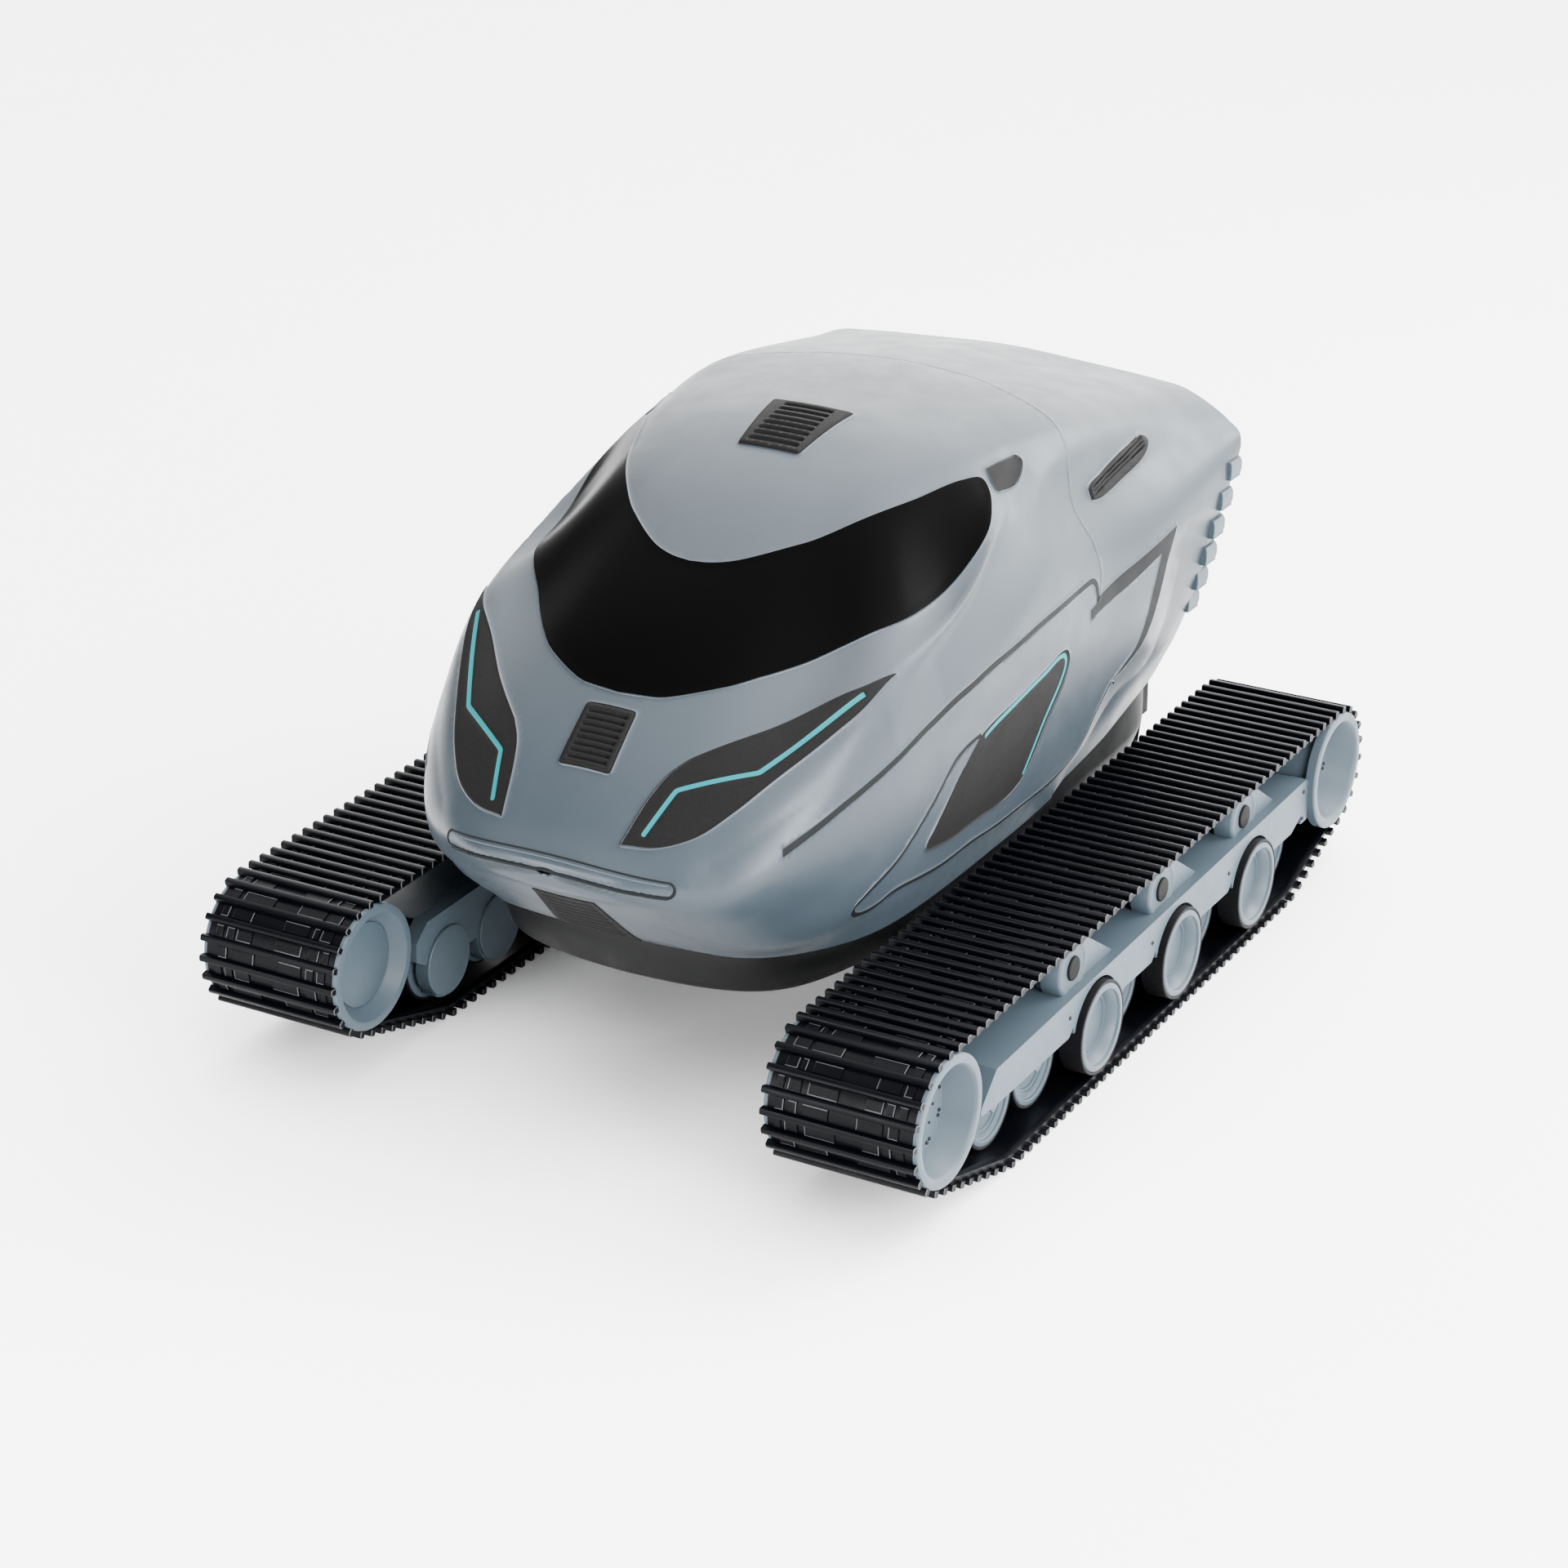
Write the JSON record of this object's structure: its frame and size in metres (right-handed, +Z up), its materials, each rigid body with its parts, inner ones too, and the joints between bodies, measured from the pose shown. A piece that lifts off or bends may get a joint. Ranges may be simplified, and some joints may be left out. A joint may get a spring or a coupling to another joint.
{
  "type": "tracked tank chassis",
  "caption": "Tracked robot chassis: a pod-shaped two-piece shell with visor, lamps and grilles on a pan, between two running gears with belts, end wheels, road wheels and rollers.",
  "frame": {"origin": "on the ground under the centre of the tracks, midway between the end axles and between the tracks", "axes": "+Z up, nose towards -Y, all axles along X, and +X is the side that the sub-parts named right are on"},
  "size_m": [0.6092, 0.8103, 0.461],
  "materials": {
    "body_satin": "satin",
    "pale_paint": "satin",
    "wheel_paint": "satin",
    "belt_rubber": "matte",
    "dark_trim": "fine texture",
    "visor_gloss": "gloss",
    "accent_cyan": "gloss",
    "pan_black": "matte",
    "battery_case": "matte",
    "circuit_board": "satin",
    "motor_metal": "brushed"
  },
  "bodies": {
    "hull": {"front_shell": "body_satin", "rear_shell": "body_satin", "visor": "visor_gloss", "nose_grille": "dark_trim", "roof_grille": "dark_trim", "chin_grille": "dark_trim", "light_bar": "dark_trim", "rear_connector_box": "dark_trim", "rear_grille": "pale_paint", "headlight_right": "dark_trim", "headlight_strip_right": "accent_cyan", "side_panel_right": "dark_trim", "side_strip_right": "accent_cyan", "side_stripe_right": "dark_trim", "shoulder_grille_right": "dark_trim", "sensor_pod_right": "dark_trim", "headlight_left": "dark_trim", "headlight_strip_left": "accent_cyan", "side_panel_left": "dark_trim", "side_strip_left": "accent_cyan", "side_stripe_left": "dark_trim", "shoulder_grille_left": "dark_trim", "sensor_pod_left": "dark_trim", "chassis_pan": "pan_black", "battery_pack": "battery_case", "control_board": "circuit_board", "cross_member_front": "pan_black", "cross_member_rear": "pan_black", "track_belt_right": "belt_rubber", "side_frame_right": "pale_paint", "drive_motor_right": "motor_metal", "track_belt_left": "belt_rubber", "side_frame_left": "pale_paint", "drive_motor_left": "motor_metal"},
    "drive_wheel_right_body": {"drive_wheel_right": "wheel_paint"},
    "idler_wheel_right_body": {"idler_wheel_right": "wheel_paint"},
    "outer_road_wheel_right_1_body": {"outer_road_wheel_right_1": "wheel_paint"},
    "outer_road_wheel_right_2_body": {"outer_road_wheel_right_2": "wheel_paint"},
    "outer_road_wheel_right_3_body": {"outer_road_wheel_right_3": "wheel_paint"},
    "inner_road_wheel_right_1_body": {"inner_road_wheel_right_1": "wheel_paint"},
    "inner_road_wheel_right_2_body": {"inner_road_wheel_right_2": "wheel_paint"},
    "inner_road_wheel_right_3_body": {"inner_road_wheel_right_3": "wheel_paint"},
    "inner_road_wheel_right_4_body": {"inner_road_wheel_right_4": "wheel_paint"},
    "inner_road_wheel_right_5_body": {"inner_road_wheel_right_5": "wheel_paint"},
    "return_roller_right_1_body": {"return_roller_right_1": "wheel_paint"},
    "return_roller_right_2_body": {"return_roller_right_2": "wheel_paint"},
    "return_roller_right_3_body": {"return_roller_right_3": "wheel_paint"},
    "drive_wheel_left_body": {"drive_wheel_left": "wheel_paint"},
    "idler_wheel_left_body": {"idler_wheel_left": "wheel_paint"},
    "outer_road_wheel_left_1_body": {"outer_road_wheel_left_1": "wheel_paint"},
    "outer_road_wheel_left_2_body": {"outer_road_wheel_left_2": "wheel_paint"},
    "outer_road_wheel_left_3_body": {"outer_road_wheel_left_3": "wheel_paint"},
    "inner_road_wheel_left_1_body": {"inner_road_wheel_left_1": "wheel_paint"},
    "inner_road_wheel_left_2_body": {"inner_road_wheel_left_2": "wheel_paint"},
    "inner_road_wheel_left_3_body": {"inner_road_wheel_left_3": "wheel_paint"},
    "inner_road_wheel_left_4_body": {"inner_road_wheel_left_4": "wheel_paint"},
    "inner_road_wheel_left_5_body": {"inner_road_wheel_left_5": "wheel_paint"},
    "return_roller_left_1_body": {"return_roller_left_1": "wheel_paint"},
    "return_roller_left_2_body": {"return_roller_left_2": "wheel_paint"},
    "return_roller_left_3_body": {"return_roller_left_3": "wheel_paint"}
  },
  "joints": [
    {"name": "drive_wheel_right_body_spin", "type": "hinge", "parent": "hull", "child": "drive_wheel_right_body", "pos_m": [0, 0.35, 0.087], "axis": [1, 0, 0], "continuous": true},
    {"name": "idler_wheel_right_body_spin", "type": "hinge", "parent": "hull", "child": "idler_wheel_right_body", "pos_m": [0, -0.35, 0.087], "axis": [1, 0, 0], "continuous": true},
    {"name": "outer_road_wheel_right_1_body_spin", "type": "hinge", "parent": "hull", "child": "outer_road_wheel_right_1_body", "pos_m": [0, -0.0996, 0.048], "axis": [1, 0, 0], "continuous": true},
    {"name": "outer_road_wheel_right_2_body_spin", "type": "hinge", "parent": "hull", "child": "outer_road_wheel_right_2_body", "pos_m": [0, 0.0448, 0.048], "axis": [1, 0, 0], "continuous": true},
    {"name": "outer_road_wheel_right_3_body_spin", "type": "hinge", "parent": "hull", "child": "outer_road_wheel_right_3_body", "pos_m": [0, 0.1892, 0.048], "axis": [1, 0, 0], "continuous": true},
    {"name": "inner_road_wheel_right_1_body_spin", "type": "hinge", "parent": "hull", "child": "inner_road_wheel_right_1_body", "pos_m": [0, -0.244, 0.0461], "axis": [1, 0, 0], "continuous": true},
    {"name": "inner_road_wheel_right_2_body_spin", "type": "hinge", "parent": "hull", "child": "inner_road_wheel_right_2_body", "pos_m": [0, -0.1718, 0.0461], "axis": [1, 0, 0], "continuous": true},
    {"name": "inner_road_wheel_right_3_body_spin", "type": "hinge", "parent": "hull", "child": "inner_road_wheel_right_3_body", "pos_m": [0, -0.0274, 0.0461], "axis": [1, 0, 0], "continuous": true},
    {"name": "inner_road_wheel_right_4_body_spin", "type": "hinge", "parent": "hull", "child": "inner_road_wheel_right_4_body", "pos_m": [0, 0.117, 0.0461], "axis": [1, 0, 0], "continuous": true},
    {"name": "inner_road_wheel_right_5_body_spin", "type": "hinge", "parent": "hull", "child": "inner_road_wheel_right_5_body", "pos_m": [0, 0.2614, 0.0461], "axis": [1, 0, 0], "continuous": true},
    {"name": "return_roller_right_1_body_spin", "type": "hinge", "parent": "hull", "child": "return_roller_right_1_body", "pos_m": [0, -0.127, 0.1105], "axis": [1, 0, 0], "continuous": true},
    {"name": "return_roller_right_2_body_spin", "type": "hinge", "parent": "hull", "child": "return_roller_right_2_body", "pos_m": [0, 0.0295, 0.1105], "axis": [1, 0, 0], "continuous": true},
    {"name": "return_roller_right_3_body_spin", "type": "hinge", "parent": "hull", "child": "return_roller_right_3_body", "pos_m": [0, 0.186, 0.1105], "axis": [1, 0, 0], "continuous": true},
    {"name": "drive_wheel_left_body_spin", "type": "hinge", "parent": "hull", "child": "drive_wheel_left_body", "pos_m": [0, 0.35, 0.087], "axis": [1, 0, 0], "continuous": true},
    {"name": "idler_wheel_left_body_spin", "type": "hinge", "parent": "hull", "child": "idler_wheel_left_body", "pos_m": [0, -0.35, 0.087], "axis": [1, 0, 0], "continuous": true},
    {"name": "outer_road_wheel_left_1_body_spin", "type": "hinge", "parent": "hull", "child": "outer_road_wheel_left_1_body", "pos_m": [0, -0.0996, 0.048], "axis": [1, 0, 0], "continuous": true},
    {"name": "outer_road_wheel_left_2_body_spin", "type": "hinge", "parent": "hull", "child": "outer_road_wheel_left_2_body", "pos_m": [0, 0.0448, 0.048], "axis": [1, 0, 0], "continuous": true},
    {"name": "outer_road_wheel_left_3_body_spin", "type": "hinge", "parent": "hull", "child": "outer_road_wheel_left_3_body", "pos_m": [0, 0.1892, 0.048], "axis": [1, 0, 0], "continuous": true},
    {"name": "inner_road_wheel_left_1_body_spin", "type": "hinge", "parent": "hull", "child": "inner_road_wheel_left_1_body", "pos_m": [0, -0.244, 0.0461], "axis": [1, 0, 0], "continuous": true},
    {"name": "inner_road_wheel_left_2_body_spin", "type": "hinge", "parent": "hull", "child": "inner_road_wheel_left_2_body", "pos_m": [0, -0.1718, 0.0461], "axis": [1, 0, 0], "continuous": true},
    {"name": "inner_road_wheel_left_3_body_spin", "type": "hinge", "parent": "hull", "child": "inner_road_wheel_left_3_body", "pos_m": [0, -0.0274, 0.0461], "axis": [1, 0, 0], "continuous": true},
    {"name": "inner_road_wheel_left_4_body_spin", "type": "hinge", "parent": "hull", "child": "inner_road_wheel_left_4_body", "pos_m": [0, 0.117, 0.0461], "axis": [1, 0, 0], "continuous": true},
    {"name": "inner_road_wheel_left_5_body_spin", "type": "hinge", "parent": "hull", "child": "inner_road_wheel_left_5_body", "pos_m": [0, 0.2614, 0.0461], "axis": [1, 0, 0], "continuous": true},
    {"name": "return_roller_left_1_body_spin", "type": "hinge", "parent": "hull", "child": "return_roller_left_1_body", "pos_m": [0, -0.127, 0.1105], "axis": [1, 0, 0], "continuous": true},
    {"name": "return_roller_left_2_body_spin", "type": "hinge", "parent": "hull", "child": "return_roller_left_2_body", "pos_m": [0, 0.0295, 0.1105], "axis": [1, 0, 0], "continuous": true},
    {"name": "return_roller_left_3_body_spin", "type": "hinge", "parent": "hull", "child": "return_roller_left_3_body", "pos_m": [0, 0.186, 0.1105], "axis": [1, 0, 0], "continuous": true}
  ],
  "couplings": [
    {"joint": "idler_wheel_right_body_spin", "follows": "drive_wheel_right_body_spin", "ratio": 1},
    {"joint": "outer_road_wheel_right_1_body_spin", "follows": "drive_wheel_right_body_spin", "ratio": 1.2},
    {"joint": "outer_road_wheel_right_2_body_spin", "follows": "drive_wheel_right_body_spin", "ratio": 1.2},
    {"joint": "outer_road_wheel_right_3_body_spin", "follows": "drive_wheel_right_body_spin", "ratio": 1.2},
    {"joint": "inner_road_wheel_right_1_body_spin", "follows": "drive_wheel_right_body_spin", "ratio": 1.264},
    {"joint": "inner_road_wheel_right_2_body_spin", "follows": "drive_wheel_right_body_spin", "ratio": 1.264},
    {"joint": "inner_road_wheel_right_3_body_spin", "follows": "drive_wheel_right_body_spin", "ratio": 1.264},
    {"joint": "inner_road_wheel_right_4_body_spin", "follows": "drive_wheel_right_body_spin", "ratio": 1.264},
    {"joint": "inner_road_wheel_right_5_body_spin", "follows": "drive_wheel_right_body_spin", "ratio": 1.264},
    {"joint": "return_roller_right_1_body_spin", "follows": "drive_wheel_right_body_spin", "ratio": 2.1226},
    {"joint": "return_roller_right_2_body_spin", "follows": "drive_wheel_right_body_spin", "ratio": 2.1226},
    {"joint": "return_roller_right_3_body_spin", "follows": "drive_wheel_right_body_spin", "ratio": 2.1226},
    {"joint": "idler_wheel_left_body_spin", "follows": "drive_wheel_left_body_spin", "ratio": 1},
    {"joint": "outer_road_wheel_left_1_body_spin", "follows": "drive_wheel_left_body_spin", "ratio": 1.2},
    {"joint": "outer_road_wheel_left_2_body_spin", "follows": "drive_wheel_left_body_spin", "ratio": 1.2},
    {"joint": "outer_road_wheel_left_3_body_spin", "follows": "drive_wheel_left_body_spin", "ratio": 1.2},
    {"joint": "inner_road_wheel_left_1_body_spin", "follows": "drive_wheel_left_body_spin", "ratio": 1.264},
    {"joint": "inner_road_wheel_left_2_body_spin", "follows": "drive_wheel_left_body_spin", "ratio": 1.264},
    {"joint": "inner_road_wheel_left_3_body_spin", "follows": "drive_wheel_left_body_spin", "ratio": 1.264},
    {"joint": "inner_road_wheel_left_4_body_spin", "follows": "drive_wheel_left_body_spin", "ratio": 1.264},
    {"joint": "inner_road_wheel_left_5_body_spin", "follows": "drive_wheel_left_body_spin", "ratio": 1.264},
    {"joint": "return_roller_left_1_body_spin", "follows": "drive_wheel_left_body_spin", "ratio": 2.1226},
    {"joint": "return_roller_left_2_body_spin", "follows": "drive_wheel_left_body_spin", "ratio": 2.1226},
    {"joint": "return_roller_left_3_body_spin", "follows": "drive_wheel_left_body_spin", "ratio": 2.1226}
  ]
}
